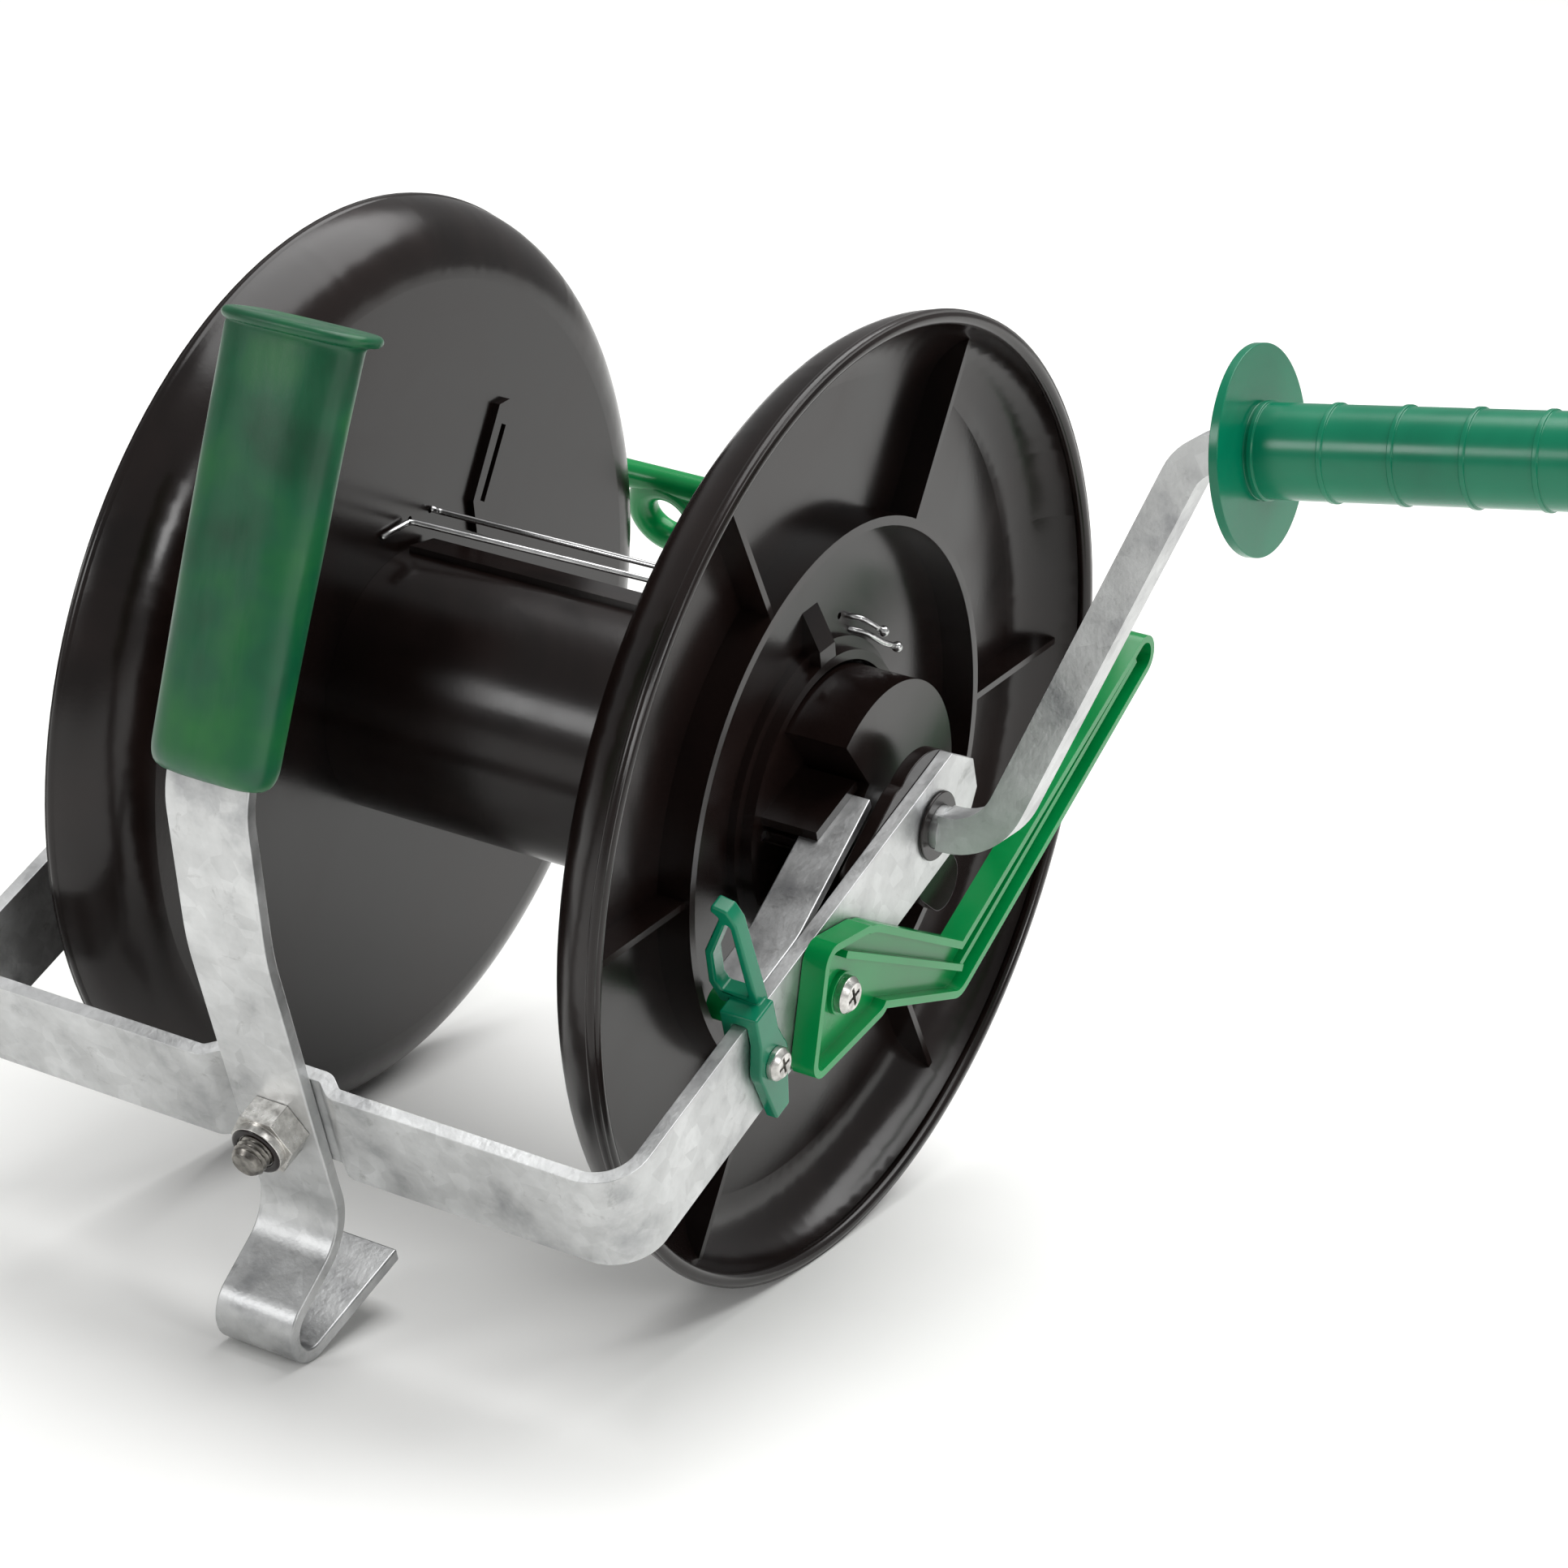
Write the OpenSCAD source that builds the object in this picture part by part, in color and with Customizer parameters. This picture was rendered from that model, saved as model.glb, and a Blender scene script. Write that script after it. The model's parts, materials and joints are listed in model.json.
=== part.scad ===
// Geared hand reel for fence line: a dished plastic drum in a bent flat-bar frame,
// wound by a crank through a planetary step-up gear in the right end of the core.
// X runs along the axle towards the crank, -Y is the carrying-handle side, +Z is up.
// The origin is on the axle, midway between the flanges.
// Parts are laid out with the frame arms along Y; stance() then leans the whole reel
// back until its hook and both flanges stand on one level floor.

/* [Drum] */
// Radius of both flanges at the rim
flange_r = 136.5; // [132:0.5:138]
// Distance between the outer lips of the flanges
drum_w = 172.6; // [170:0.2:174]
// Clear winding width between the flange webs
wind_w = 131.5; // [130:0.5:133]
// Outer radius of the winding core
core_r = 39.2; // [39:0.1:41]
// Wall thickness of the drum mouldings
wall = 3; // [2.5:0.1:3.2]
// Inner radius of the rounded shoulder near the rim
shoulder_r = 20.7; // [19:0.1:22]
// Outer radius of the stiffening ring on each web
ring_r = 79; // [76:0.5:82]
// Height of the stiffening ring above the web
ring_h = 10; // [8:0.5:11]
// Number of radial ribs on each flange
rib_count = 6; // [4:1:8]

/* [Frame] */
// Width of the frame's flat bar
bar_w = 30; // [28:0.5:30]
// Thickness of the flat bar
bar_t = 4; // [3.8:0.1:4]
// Width of the handle's flat bar
handle_w = 25; // [22:0.5:25]
// Distance between the outer faces of the two arms
frame_w = 216.6; // [216:0.2:218]
// Distance from the axle to the front face of the crossbar
reach = 161.9; // [160:0.1:164]
// How far the arms run past the axle
arm_tail = 23; // [20:0.5:26]
// Centreline radius of the frame's corners
corner_r = 12; // [9:0.5:16]

/* [Handle] */
// Length of the vinyl hand grip
grip_len = 115; // [100:1:120]
// Width of the hand grip across the bar
grip_w = 34; // [30:0.5:40]
// Depth of the hand grip through the bar
grip_d = 18; // [14:0.5:22]
// Inner radius of the fence hook's bend
hook_r = 6.5; // [5:0.5:7]
// Length of the hook's straight tail
hook_tail = 37; // [25:0.5:40]

/* [Crank] */
// Side of the square crank bar
crank_t = 10; // [9:0.5:10]
// Distance of the crank's lower corner from the drum's middle plane
crank_x = 126.1; // [125:0.1:130]
// Radius of the crank at its upper corner
crank_r = 120.8; // [110:0.5:125]
// Outward lean of the crank arm, in degrees from the radial
crank_lean = 21.35; // [15:0.5:25]
// Outward tilt of the crank grip from the axle direction, in degrees
grip_tilt = 10.4; // [0:0.5:12]
// Angle of the crank round the axle at rest, from the arm direction
crank_angle = 67.6; // [0:0.1:360]
// Length of the crank grip's tube
crank_grip_len = 115; // [100:1:120]
// Radius of the crank grip's tube
crank_grip_r = 12.2; // [11:0.1:13]
// Radius of the crank grip's guard disc
guard_r = 27; // [20:0.5:30]

/* [Gear train] */
// Gear module
gear_m = 1.5; // [1.5:0.01:1.5]
// Teeth on the sun gear
sun_teeth = 20; // [20:10:20]
// Teeth on each planet gear
planet_teeth = 10; // [10:10:10]
// Width of the gear faces
gear_w = 11; // [9:0.5:11]

/* [Hidden] */
$fn = 96;

eps = 0.01;
gap = 0.05;              // face-to-face allowance between fixed pieces
run = 0.05;              // radial running clearance of shafts in bores

web_in = wind_w / 2;     // inner face of a flange web
web_out = web_in + wall; // outer face of a flange web
lip_x = drum_w / 2;
arm_x = frame_w / 2;     // outer face of an arm
arm_in = arm_x - bar_t;  // inner face of an arm
bar_mid = reach - bar_t / 2;   // centreline of the crossbar

// Handle side profile, from the grip's top down to the hook's tail
handle_top_s = 105;      // straight part inside and under the grip
handle_knee_r = 25;
handle_knee_a = 27.5;
handle_slope = 32;       // straight part between the knee and the bow
handle_bow_r = 80;
handle_bow_a = 9.5;
handle_lean = handle_knee_a + handle_bow_a;
handle_drop = 80.2;      // straight part across the crossbar
hook_s_r = 16;
hook_s_a = 72;
hook_run = 13.5;
hook_c = hook_r + bar_t / 2 - gap;
hook_turn = 160;
bow_end_z = 52.2;        // height at which the bow becomes straight
top_y = -bar_mid + handle_bow_r * (1 - cos(handle_bow_a)) + handle_slope * sin(handle_bow_a)
    + handle_knee_r * (cos(handle_bow_a) - cos(handle_lean)) + handle_top_s * sin(handle_lean);
top_z = bow_end_z + handle_bow_r * sin(handle_bow_a) + handle_slope * cos(handle_bow_a)
    + handle_knee_r * (sin(handle_lean) - sin(handle_bow_a)) + handle_top_s * cos(handle_lean);
handle_path = [[handle_top_s, handle_knee_r, handle_knee_a], [handle_slope, handle_bow_r, handle_bow_a],
    [handle_drop, hook_s_r, -hook_s_a], [hook_run, hook_c, hook_turn], [hook_tail, 0, 0]];

// Centre of the hook's bend, which also settles how the reel stands
hook_s_z = bow_end_z - handle_drop - hook_s_r * sin(hook_s_a);
hook_y = -bar_mid - hook_s_r * (1 - cos(hook_s_a)) - hook_run * sin(hook_s_a) + hook_c * cos(hook_s_a);
hook_z = hook_s_z - hook_run * cos(hook_s_a) - hook_c * sin(hook_s_a);
hook_out = hook_c + bar_t / 2;
stance_a = asin((flange_r - hook_out) / norm([hook_y, hook_z])) - atan2(hook_z, hook_y) - 180;

// Frame path in plan, from the left arm's end round to the right arm's end
jog_a = 40;
jog_r = 4;
jog_flat = handle_w + 4;
jog_run = (bar_t + gap - 2 * jog_r * (1 - cos(jog_a))) / sin(jog_a);
jog_len = 2 * jog_r * sin(jog_a) + jog_run * cos(jog_a);
arm_run = arm_tail + bar_mid - corner_r;
cross_run = arm_x - bar_t / 2 - corner_r - jog_flat / 2 - jog_len;
frame_path = [[arm_run, corner_r, 90], [cross_run, jog_r, jog_a], [jog_run, jog_r, -jog_a],
    [jog_flat, jog_r, -jog_a], [jog_run, jog_r, jog_a], [cross_run, corner_r, 90], [arm_run, 0, 0]];

// Screw places on the arms, as distances along the arm and across it
lever_y = -62;
lever_z = -5;
clip_y = -95;
clip_z = 0;
guide_y1 = -24;
screw_m5 = 2.5;
screw_m4 = 2;

// The handle's bolt sits a little off the middle of the crossbar
bolt_x = 1;
bolt_z = -2;
bolt_r = 5;
bolt_end = 16;           // thread left over in front of the handle

// Axle and crank journals; the stub axle's head clamps the line guide to the left arm
spindle_r = 5;
journal_r = 6;
bush_r = 8.5;
axle_r = 6;

// Gear train, meshed on planes across the axle
ring_teeth = sun_teeth + 2 * planet_teeth;
sun_pr = gear_m * sun_teeth / 2;
planet_pr = gear_m * planet_teeth / 2;
ring_pr = gear_m * ring_teeth / 2;
orbit_r = sun_pr + planet_pr;
gear_x = 52;             // left face of the gears
carrier_x = gear_x + gear_w + 1;
carrier_t = 4;
cover_x = carrier_x + carrier_t + 1;
cover_t = 3;
cover_r = 37;
cover_end = 93;
cover_w = 2.5;
plate_t = 2.5;           // end plate outside the window
neck_r = 16;
window_a = 112;          // where the quarter-turn window starts
cover_angles = [160, 250, 340];
hub_x = 44;              // left face of the plate that carries the sun gear
planet_bore = 2.5;
planet_angles = [90, 210, 330];
pressure = 25;
addendum = 0.75;
dedendum = 1;
backlash = 0.12;         // taken off each flank

// Crank profile in its own plane
arm_rise = 90 - crank_lean;
crank_low_r = 20;
crank_high_r = 14;
high_turn = arm_rise - grip_tilt;
low_t = crank_low_r * tan(arm_rise / 2);
high_t = crank_high_r * tan(high_turn / 2);
crank_start = arm_x + 2.7;
arm_len = crank_r / sin(arm_rise) - low_t - high_t;
shoulder = 14;           // square stub between the upper corner and the grip
spigot_r = 5;
crank_path = [[crank_x - low_t - crank_start, crank_low_r, arm_rise], [arm_len, crank_high_r, -high_turn],
    [shoulder - high_t, 0, 0]];
corner_x = crank_x + crank_r / tan(arm_rise);
guard_t = 2.5;
grip_at = 15;
ridge_pitch = 18.7;
cap_t = 5;
spigot_len = grip_at - shoulder + crank_grip_len + 4;

// Drum details, as angles from the arm direction
drum_clock = -18.75;
rib_t = 2;
wire_r = 0.9;
wire_spots = [[49, 55.9], [47.7, 67.9]];   // radius and angle of each tie wire

// Brake shoe carried under the right arm by the lever
shoe_y = -63.5;
shoe_z = -22;
shoe_r = 4.5;
shoe_end = web_out + 3;

// Line guide's cross arm behind the drum
guide_y = 150;
guide_z = -42;
guide_t = 5;
head_in = -arm_x - guide_t - 1.7;

zinc = "silver";
jet = [0.06, 0.06, 0.065];
leaf = [0.02, 0.5, 0.25];
teal = [0.0, 0.5, 0.38];

// ---------- helpers ----------

// Leans a piece into the standing position
module stance() {
    rotate([stance_a, 0, 0]) children();
}

// Turns a shape drawn in XY and built along Z so that it is built along X
module along_x(x) {
    translate([x, 0, 0]) rotate([90, 0, 90]) children();
}

// A sector of a ring, drawn as true arcs; the bend starts at the origin heading +X
module bend(r, a, t) {
    s = sign(a);
    far = 3 * (r + t);
    n = abs(a);
    translate([0, s * r]) intersection() {
        difference() {
            circle(r + t / 2);
            circle(r - t / 2);
        }
        scale([1, s]) rotate(-90)
            polygon([[0, 0], [far, 0], [far * cos(n / 3), far * sin(n / 3)],
                [far * cos(2 * n / 3), far * sin(2 * n / 3)], [far * cos(n), far * sin(n)]]);
    }
}

// A bar of thickness t that follows [straight, bend radius, bend angle] steps
module bent(steps, t, i = 0) {
    if (i < len(steps)) {
        run_len = steps[i][0];
        r = steps[i][1];
        a = steps[i][2];
        translate([0, -t / 2]) square([run_len, t]);
        translate([run_len, 0]) {
            if (a != 0) bend(r, a, t);
            translate([r * sin(abs(a)), sign(a) * r * (1 - cos(a))]) rotate(a) bent(steps, t, i + 1);
        }
    }
}

// Points on one side of a bent bar, with a point every few degrees round each bend
function unit(a) = [cos(a), sin(a)];
function side_points(steps, off, i = 0, p = [0, 0], a = 0) =
    i >= len(steps) ? [] :
    let (q = p + steps[i][0] * unit(a), turn = steps[i][2], s = sign(turn))
    let (c = q + s * steps[i][1] * unit(a + 90), n = ceil(abs(turn) / 3))
    let (arc = [for (j = [0 : n]) c - (s * steps[i][1] - off) * unit(a + 90 + (n == 0 ? 0 : turn * j / n))])
    concat(i == 0 ? [p + off * unit(a + 90)] : [], arc,
        side_points(steps, off, i + 1, c - s * steps[i][1] * unit(a + 90 + turn), a + turn));

// The same bar as one closed outline
module bent_outline(steps, t) {
    far = side_points(steps, -t / 2);
    n = len(far);
    polygon(concat(side_points(steps, t / 2), [for (i = [n - 1 : -1 : 0]) far[i]]));
}

// Hexagon prism along Z with a given width across flats
module hex(af, h) {
    cylinder(d = af / cos(30), h = h, $fn = 6);
}

// Pan-head screw along Z, head on top of z = 0, with a cross recess
module pan_screw(shank, length, head, head_h) {
    difference() {
        union() {
            cylinder(r = shank, h = length + head_h / 2);
            translate([0, 0, length]) cylinder(r = head, h = head_h * 0.55);
            translate([0, 0, length + head_h * 0.55]) cylinder(r1 = head, r2 = head * 0.72, h = head_h * 0.45);
        }
        for (a = [0, 90]) rotate(a)
            translate([-head * 0.55, -head * 0.11, length + head_h * 0.45]) cube([head * 1.1, head * 0.22, head_h]);
    }
}

// Nut along Z with a clearance bore
module nut(af, h, bore) {
    difference() {
        hex(af, h);
        translate([0, 0, -eps]) cylinder(r = bore, h = h + 2 * eps);
    }
}

function involute(rb, t) = [rb * (cos(t) + t * PI / 180 * sin(t)), rb * (sin(t) - t * PI / 180 * cos(t))];
function inv_angle(rb, r) = sqrt(r * r / (rb * rb) - 1) * 180 / PI;
function turned(p, a) = [p[0] * cos(a) - p[1] * sin(a), p[0] * sin(a) + p[1] * cos(a)];
function mirrored(p) = [p[0], -p[1]];

// One flank of a tooth centred on +X, from root to tip, for half a tooth width
function flank(pr, rb, root, tip, half, steps = 5) =
    let (t0 = root > rb ? inv_angle(rb, root) : 0, t1 = inv_angle(rb, tip))
    let (tp = inv_angle(rb, pr), at_pitch = tp - atan(tp * PI / 180))
    concat(root > rb ? [] : [turned([root, 0], -half - at_pitch)],
        [for (i = [0 : steps]) turned(involute(rb, t0 + (t1 - t0) * i / steps), -half - at_pitch)]);

// Outline of a spur gear with its first tooth on +X
module gear_2d(teeth, add, ded, play) {
    pr = gear_m * teeth / 2;
    rb = pr * cos(pressure);
    half = 90 / teeth - play / pr * 180 / PI;
    side = flank(pr, rb, pr - ded * gear_m, pr + add * gear_m, half);
    n = len(side);
    tooth = concat(side, [for (i = [n - 1 : -1 : 0]) mirrored(side[i])]);
    polygon([for (k = [0 : teeth - 1]) for (p = tooth) turned(p, k * 360 / teeth)]);
}

// ---------- frame ----------

module frame_bar() {
    color(zinc) stance() difference() {
        translate([-arm_x + bar_t / 2, arm_tail, -bar_w / 2]) rotate(-90)
            linear_extrude(bar_w) bent_outline(frame_path, bar_t);
        // chamfered corners at both arm ends
        for (z = [-1, 1])
            translate([-arm_x - 1, arm_tail, z * bar_w / 2]) rotate([z * 45, 0, 0])
                translate([0, -7, -7]) cube([frame_w + 2, 14, 14]);
        along_x(arm_in - 1) cylinder(r = bush_r, h = bar_t + 2);
        along_x(-arm_x - 1) cylinder(r = axle_r + gap, h = bar_t + 2);
        translate([0, lever_y, lever_z]) along_x(arm_in - 1) cylinder(r = screw_m5 + gap, h = bar_t + 2);
        translate([0, clip_y, clip_z]) along_x(arm_in - 1) cylinder(r = screw_m4 + gap, h = bar_t + 2);
        translate([0, guide_y1, 0]) along_x(-arm_x - 1) cylinder(r = screw_m4 + gap, h = bar_t + 2);
        translate([bolt_x, -reach - 1, bolt_z]) rotate([-90, 0, 0]) cylinder(r = bolt_r + gap, h = 3 * bar_t);
    }
}

// Strip that stops the gear case from turning, fixed inside the right arm
bracket_y = -86.5;
bracket_end = -11.2;
bracket_w = 14;
bracket_t = 3;

module torque_strip_2d(w) {
    bent_outline([[34.5, 40, 8.5], [60, 0, 0]], w);
}

module torque_bracket() {
    color(zinc) stance() intersection() {
        translate([arm_in - gap - bracket_w / 2, bracket_y - 16.5, bar_w / 2 - bracket_t])
            rotate(90) linear_extrude(bracket_t) torque_strip_2d(bracket_w);
        translate([50, bracket_y, 0]) cube([arm_in - 50, bracket_end - bracket_y, bar_w]);
    }
}

// ---------- handle ----------

module handle_side(t) {
    translate([top_y, top_z]) rotate(-90 - handle_lean) bent_outline(handle_path, t);
}

module handle_bar() {
    color(zinc) stance() difference() {
        translate([-handle_w / 2, 0, 0]) rotate([90, 0, 90]) linear_extrude(handle_w) handle_side(bar_t);
        translate([bolt_x, -reach - 1, bolt_z]) rotate([-90, 0, 0]) cylinder(r = bolt_r + gap, h = bar_t + 2);
        // round seat for the fence wire inside the hook
        translate([0, hook_y, hook_z]) along_x(-handle_w / 2 - 1) cylinder(r = hook_r, h = handle_w + 2);
    }
}

// Hand grip: a sleeve over the handle's straight top, closed at its upper end
module grip_side(t, extra) {
    translate([top_y, top_z]) rotate(-90 - handle_lean) translate([-extra, -t / 2])
        square([grip_len + extra - 8, t]);
}

module hand_grip() {
    color(leaf) stance() difference() {
        union() {
            translate([-grip_w / 2 + 5, 0, 0]) rotate([90, 0, 90])
                linear_extrude(grip_w - 10) grip_side(grip_d, 8);
            translate([-grip_w / 2, 0, 0]) rotate([90, 0, 90])
                linear_extrude(grip_w) grip_side(grip_d - 8, 8);
            translate([-grip_w / 2 - 2.5, 0, 0]) rotate([90, 0, 90]) linear_extrude(grip_w + 5)
                translate([top_y, top_z]) rotate(-90 - handle_lean) translate([-8, -grip_d / 2 - 2.5])
                    square([4, grip_d + 5]);
        }
        translate([-handle_w / 2 - gap, 0, 0]) rotate([90, 0, 90])
            linear_extrude(handle_w + 2 * gap) handle_side(bar_t + 2 * gap);
    }
}

module handle_bolt() {
    color(zinc) stance() translate([bolt_x, -bar_mid + bar_t * 1.5 + gap, bolt_z]) rotate([90, 0, 0]) {
        cylinder(r = bolt_r, h = 2 * bar_t + bolt_end);
        translate([0, 0, -6.4]) hex(17, 6.4);
    }
}

module handle_nut() {
    color(zinc) stance() translate([bolt_x, -reach - gap, bolt_z]) rotate([90, 0, 0]) {
        nut(17, 8, bolt_r + gap);
        difference() {
            translate([0, 0, 8]) cylinder(r = 7.6, h = 2.5);
            cylinder(r = bolt_r + gap, h = 12);
        }
    }
}

// ---------- right-hand bearing and gear case ----------

module bearing_plate() {
    color(jet) stance() along_x(arm_in - 4) difference() {
        union() {
            cylinder(r = 20.2, h = 4 - gap);
            hull() {
                translate([2, -20, 0]) cylinder(r = 9, h = 4 - gap, $fn = 32);
                translate([6, -28, 0]) cylinder(r = 8, h = 4 - gap, $fn = 32);
            }
            hull() {
                translate([-10, 8, 0]) cylinder(r = 11, h = 4 - gap, $fn = 32);
                translate([-35, 9, 0]) cylinder(r = 3, h = 4 - gap, $fn = 32);
            }
        }
        translate([0, 0, -1]) cylinder(r = bush_r + gap, h = 6);
    }
}

module spindle_bush() {
    color(jet) stance() difference() {
        union() {
            along_x(arm_in - 5) cylinder(r = bush_r - gap, h = bar_t + 6);
            along_x(arm_x + gap) cylinder(r = 9.8, h = 1);
            along_x(arm_in - 6) cylinder(r = 10.4, h = 2 - gap);
        }
        along_x(arm_in - 7) cylinder(r = journal_r + run, h = bar_t + 12);
    }
}

module ring_gear() {
    color([0.75, 0.74, 0.7]) stance() difference() {
        along_x(gear_x - 2) cylinder(r = ring_pr + 4.6, h = cover_x - gear_x + 2 - gap);
        along_x(gear_x - 3) linear_extrude(gear_w + 5) rotate(180 / ring_teeth)
            gear_2d(ring_teeth, dedendum, addendum, -backlash);
        along_x(gear_x + gear_w + 0.5) cylinder(r = ring_pr + 1.2, h = 12);
        for (a = cover_angles) rotate([a, 0, 0]) translate([0, ring_pr + 2.9, 0])
            along_x(cover_x - 6) cylinder(r = 1, h = 7);
    }
}

module gear_cover() {
    depth = cover_end - cover_x;
    color(jet) stance() difference() {
        union() {
            along_x(cover_x) difference() {
                cylinder(r = cover_r, h = depth);
                // hollow behind the end plate, walled off from the window
                translate([0, 0, cover_t]) difference() {
                    cylinder(r = cover_r - cover_w, h = depth - cover_t - plate_t);
                    cylinder(r = neck_r, h = depth);
                    rotate(window_a) translate([-cover_w, -cover_w, -1]) cube([60, 60, 40]);
                }
                // window that lets the torque bracket in
                translate([0, 0, cover_t + 2]) difference() {
                    rotate(window_a) cube([60, 60, 40]);
                    cylinder(r = neck_r, h = 50);
                }
            }
            // two cheeks that hold the end of the torque bracket
            translate([cover_x, -31, bar_w / 2 + gap]) cube([22, 22, 3]);
            translate([cover_x, -31, bar_w / 2 - 6]) cube([22, 22, 3 - gap]);
        }
        along_x(cover_x - 1) cylinder(r = spindle_r + 0.3, h = 40);
        for (a = cover_angles) rotate([a, 0, 0]) translate([0, ring_pr + 2.9, 0]) {
            along_x(cover_x - 1) cylinder(r = 1.3, h = 7);
            along_x(cover_x + cover_t) cylinder(r = 1.6, h = depth);
        }
    }
}

module cover_screws() {
    color(zinc) stance() for (a = cover_angles) rotate([a, 0, 0]) translate([0, ring_pr + 2.9, 0])
        along_x(cover_x - 5) {
            cylinder(r = 0.95, h = 5 + cover_t + 1);
            translate([0, 0, 5 + cover_t + gap]) cylinder(r = 1.5, h = 1.4);
        }
}

// ---------- left-hand stub axle ----------

module axle_bolt() {
    color(zinc) stance() {
        along_x(head_in) cylinder(r = axle_r, h = -head_in - web_in + 12);
        along_x(head_in - 7.5) hex(19, 7.5 + eps);
    }
}

module axle_nut() {
    color(zinc) stance() along_x(-arm_in + 1.7) nut(19, 7, axle_r + gap);
}

module axle_washers() {
    color(zinc) stance() for (x = [head_in + gap, -arm_in + gap]) along_x(x) difference() {
        cylinder(r = 12, h = 1.6 - gap);
        translate([0, 0, -1]) cylinder(r = axle_r + gap, h = 4);
    }
}

module axle_bush() {
    color([0.8, 0.8, 0.76]) stance() difference() {
        union() {
            along_x(-web_out - 19) cylinder(r = 9 - gap, h = 27);
            along_x(-web_out - 20) cylinder(r = 12, h = 2 - gap);
        }
        along_x(-web_out - 21) cylinder(r = axle_r + run, h = 40);
    }
}

// ---------- brake lever ----------

module lever_outline(inset) {
    hull() {
        translate([-66, 10]) circle(6 - inset, $fn = 32);
        translate([-51, 4]) circle(5 - inset, $fn = 32);
        translate([-79, -13]) circle(5 - inset, $fn = 32);
        translate([-49, -18]) circle(6 - inset, $fn = 32);
    }
    hull() {
        translate([-52, -4]) circle(12 - inset, $fn = 32);
        translate([-9, -44]) circle(8 - inset, $fn = 32);
    }
    hull() {
        translate([-9, -44]) circle(8 - inset, $fn = 32);
        translate([109, -25]) circle(6.5 - inset, $fn = 32);
    }
}

// Straight rib of the lever between two points of its outline plane
module lever_rib(a, b, h) {
    along_x(arm_x + 0.3) linear_extrude(h) translate(a) rotate(atan2(b[1] - a[1], b[0] - a[0]))
        translate([0, -1]) square([norm(b - a), 2]);
}

module brake_lever() {
    rim = 2.2;
    color(leaf) stance() difference() {
        union() {
            along_x(arm_x + 0.3) linear_extrude(7) lever_outline(0);
            // shoe that rubs inside the flange's stiffening ring
            translate([0, shoe_y, shoe_z]) along_x(shoe_end) cylinder(r = shoe_r, h = arm_x + 2 - shoe_end);
        }
        // tray between the rims, with a boss and two ribs left standing
        difference() {
            along_x(arm_x + 3.3) linear_extrude(5) lever_outline(rim);
            lever_rib([-60, 8], [-7, -45], 6.4);
            lever_rib([-8, -45], [107, -25], 5.4);
            translate([0, lever_y, lever_z]) along_x(arm_x) cylinder(r = 6, h = 4.8);
        }
        translate([0, lever_y, lever_z]) along_x(arm_x - 1) cylinder(r = screw_m5 + run, h = 12);
    }
}

module lever_screw() {
    color(zinc) stance() translate([0, lever_y, lever_z]) along_x(arm_in - 7)
        pan_screw(screw_m5, 7 + bar_t + 0.3 + 4.5 + gap, 5.2, 3.4);
}

module lever_nut() {
    color(zinc) stance() translate([0, lever_y, lever_z]) along_x(arm_in - 4 - gap) nut(8, 4, screw_m5 + gap);
}

// ---------- line clip ----------

clip_w = 9;
clip_t = 3.6;

module line_clip() {
    color(teal) stance() difference() {
        union() {
            // outer leg, widest round the screw
            translate([0, clip_y, clip_z]) along_x(arm_x + gap) linear_extrude(clip_t) {
                circle(7);
                polygon([[-6.8, 1], [-clip_w / 2, 9], [-clip_w / 2, bar_w / 2 + clip_t],
                    [clip_w / 2, bar_w / 2 + clip_t], [clip_w / 2, 9], [6.8, 1]]);
                polygon([[-6.8, -1], [6.8, -1], [3.2, -18], [-3.2, -18]]);
            }
            // saddle over the arm and its inner leg
            translate([arm_in - clip_t, clip_y - clip_w / 2, bar_w / 2 + gap])
                cube([bar_t + 2 * clip_t + gap, clip_w, clip_t - gap]);
            translate([arm_in - clip_t, clip_y - clip_w / 2, 4]) cube([clip_t - gap, clip_w, bar_w / 2 - 3]);
            // closed loop with a hooked tip that holds the end of the line
            translate([0, clip_y + 6, 0]) rotate([90, 0, 0]) linear_extrude(5) difference() {
                polygon([[97.5, 16], [109.5, 16], [108.8, 24], [107, 45], [104.8, 49.4], [100.4, 50.4],
                    [99.6, 48.2], [102, 46.4], [95.6, 33], [95, 22]]);
                polygon([[98.6, 20.2], [106.6, 20.2], [106.3, 24], [104.8, 44.2], [103.6, 44.8],
                    [97.9, 32.4], [97.4, 23]]);
            }
        }
        translate([0, clip_y, clip_z]) along_x(arm_x - 1) cylinder(r = screw_m4 + gap, h = 8);
    }
}

module clip_screw() {
    color(zinc) stance() translate([0, clip_y, clip_z]) along_x(arm_in - 6)
        pan_screw(screw_m4, 6 + bar_t + clip_t + 2 * gap, 4.6, 3);
}

module clip_nut() {
    color(zinc) stance() translate([0, clip_y, clip_z]) along_x(arm_in - 3.2 - gap) nut(7, 3.2, screw_m4 + gap);
}

// ---------- line guide ----------

module line_guide() {
    color(leaf) stance() difference() {
        union() {
            along_x(-arm_x - guide_t - gap) linear_extrude(guide_t) {
                hull() {
                    translate([guide_y1, 0]) circle(9, $fn = 32);
                    circle(14, $fn = 32);
                }
                hull() {
                    circle(14, $fn = 32);
                    translate([guide_y, guide_z]) circle(6, $fn = 32);
                }
            }
            translate([0, guide_y, guide_z]) along_x(-arm_x - guide_t - gap) cylinder(r = 4.5, h = 68);
            // eye that the line runs through
            translate([-74, guide_y, guide_z - 12]) rotate([90, 0, 0])
                rotate_extrude() translate([10.5, 0]) circle(4.8, $fn = 48);
        }
        along_x(-arm_x - guide_t - 2) cylinder(r = axle_r + gap, h = guide_t + 4);
        translate([0, guide_y1, 0]) along_x(-arm_x - guide_t - 2) cylinder(r = screw_m4 + gap, h = guide_t + 4);
    }
}

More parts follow.
